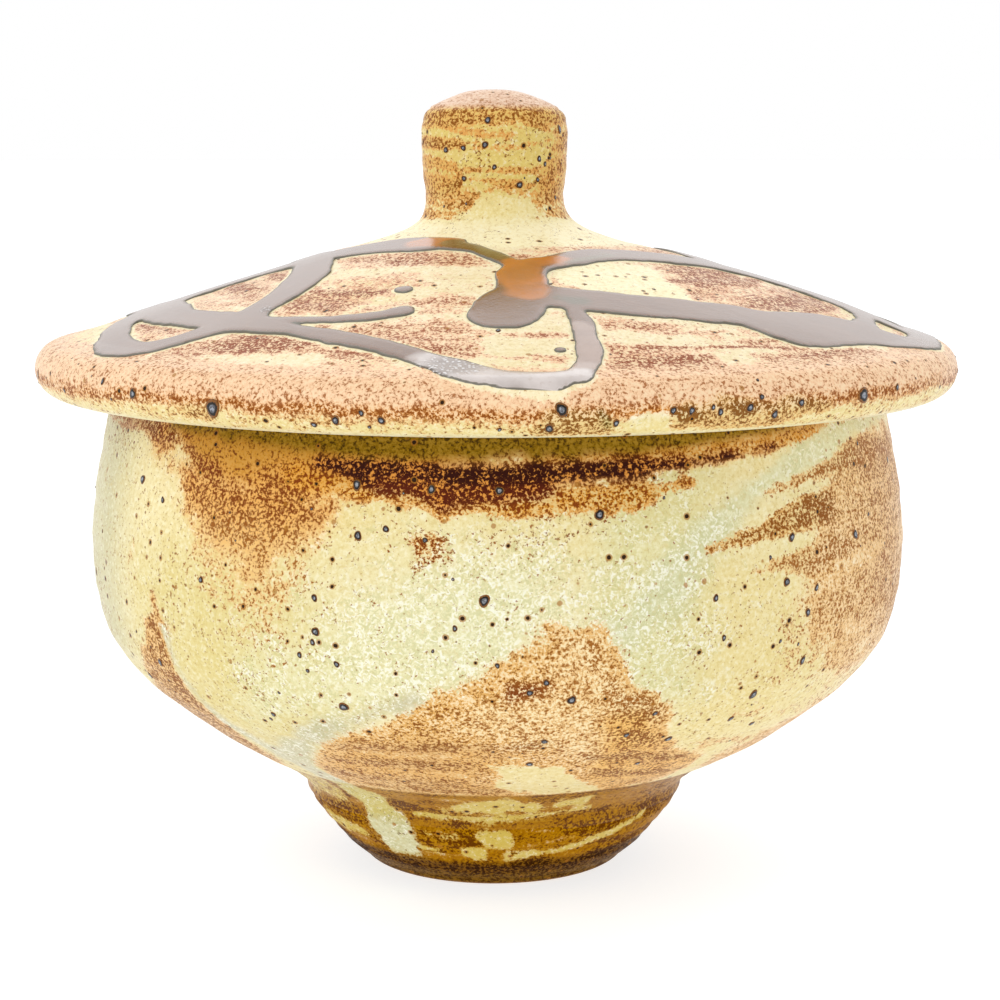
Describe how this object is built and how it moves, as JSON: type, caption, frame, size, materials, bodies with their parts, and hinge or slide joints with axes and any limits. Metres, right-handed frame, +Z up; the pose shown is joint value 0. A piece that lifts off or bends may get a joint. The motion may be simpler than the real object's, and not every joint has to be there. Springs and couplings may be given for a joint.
{
  "type": "lidded go stone bowl",
  "caption": "Wheel-thrown stoneware bowl for go stones, on a turned foot, with a lift-off domed lid, round knob and trailed glaze.",
  "frame": {"origin": "middle of the foot ring, on the surface that the bowl stands on", "axes": "+Z up along the axis that the bowl and lid were turned about; +Y away from the front, +X to the right seen from the front"},
  "size_m": [0.15, 0.15, 0.1275],
  "materials": {
    "mottled_glaze": "glossy cream and yellow-green glaze breaking rust-orange, with small dark iron spots",
    "foot_glaze": "satin ochre-brown glaze over trimming ridges, bare at the bottom edge",
    "liner_glaze": "smooth pale cream glaze",
    "trail_glaze": "thick, very glossy amber-brown raised glaze"
  },
  "bodies": {
    "bowl": {"bowl_body": "mottled_glaze", "foot_ring": "foot_glaze"},
    "lid": {"lid_dome": "mottled_glaze", "lid_flange": "liner_glaze", "lid_knob": "mottled_glaze", "glaze_trails": "trail_glaze"}
  },
  "joints": [
    {"name": "lid_lift", "type": "slide", "parent": "bowl", "child": "lid", "axis": [0, 0, 1], "range_m": [0, 0.12]}
  ]
}
